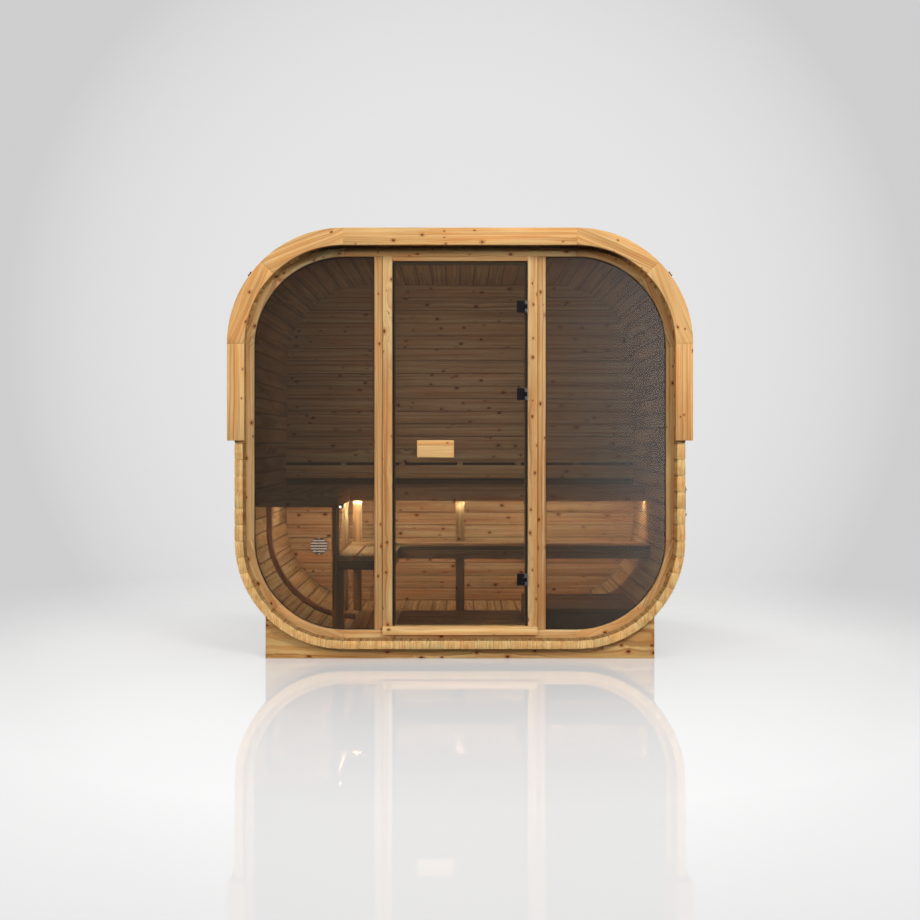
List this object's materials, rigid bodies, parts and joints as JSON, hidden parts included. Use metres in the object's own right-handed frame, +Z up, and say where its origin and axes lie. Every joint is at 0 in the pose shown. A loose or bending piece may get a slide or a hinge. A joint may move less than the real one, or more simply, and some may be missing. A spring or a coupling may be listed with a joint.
{
  "type": "cube sauna",
  "caption": "Walk-in garden sauna: a rounded-square shell of timber staves on cradles, bronze glass front with a hinged door, stepped corner benches.",
  "frame": {"origin": "on the ground, under the middle of the cabin: the centre of the bottom of the bounding box", "axes": "+Z up, +Y from the glass front to the back wall, +X to the right as seen from in front of the door"},
  "size_m": [2.368, 1.776, 2.202],
  "materials": {
    "cradle_wood": "sawn timber, in shade",
    "stave_wood": "planed knotty spruce",
    "roof_wood": "planed knotty spruce",
    "fascia_wood": "planed knotty spruce",
    "band_steel": "thin strip steel",
    "dark_steel": "dark coated steel",
    "black_metal": "satin black",
    "hinge_steel": "satin steel",
    "wall_wood": "planed knotty spruce",
    "vent_metal": "pale grey",
    "frame_wood": "planed knotty spruce",
    "bronze_glass": "bronze-tinted safety glass",
    "handle_wood": "pale planed wood",
    "bench_wood": "planed spruce",
    "light_strip": "lit diffuser of a warm light strip",
    "floor_wood": "planed spruce, in shade"
  },
  "bodies": {
    "cabin": {"cradles": "cradle_wood", "floor_staves": "stave_wood", "lower_corner_staves": "stave_wood", "side_staves": "stave_wood", "upper_corner_staves": "stave_wood", "ceiling_staves": "stave_wood", "roof_top": "roof_wood", "roof_flanks": "roof_wood", "fascia_top_boards": "fascia_wood", "fascia_upper_arcs": "fascia_wood", "fascia_lower_arcs": "fascia_wood", "fascia_side_boards": "fascia_wood", "steel_bands": "band_steel", "band_tensioners": "dark_steel", "roof_staples": "black_metal", "hinge_brackets": "hinge_steel", "back_wall": "wall_wood", "vent_grille": "vent_metal", "frame_rails": "frame_wood", "frame_stiles": "frame_wood", "frame_corners": "frame_wood", "mullions": "frame_wood", "door_jambs": "frame_wood", "door_head": "frame_wood", "door_sill": "frame_wood", "left_pane": "bronze_glass", "right_pane": "bronze_glass", "upper_slats": "bench_wood", "upper_aprons": "bench_wood", "upper_side_apron": "bench_wood", "upper_posts": "bench_wood", "lower_slats": "bench_wood", "lower_aprons": "bench_wood", "lower_side_rails": "bench_wood", "lower_posts": "bench_wood", "bench_bearers": "bench_wood", "backrest_boards": "bench_wood", "backrest_battens": "bench_wood", "wall_rib": "bench_wood", "light_strips": "light_strip", "floor_rack_runners": "floor_wood", "floor_rack_slats": "floor_wood", "deck_boards": "floor_wood", "deck_risers": "floor_wood"},
    "door": {"door_leaf": "bronze_glass", "door_handle": "handle_wood", "hinge_plates": "black_metal"}
  },
  "joints": [
    {"name": "door_hinge", "type": "hinge", "parent": "cabin", "child": "door", "pos_m": [0.339, -0.786, 1.104], "axis": [0, 0, 1], "range_deg": [0, 100]}
  ]
}
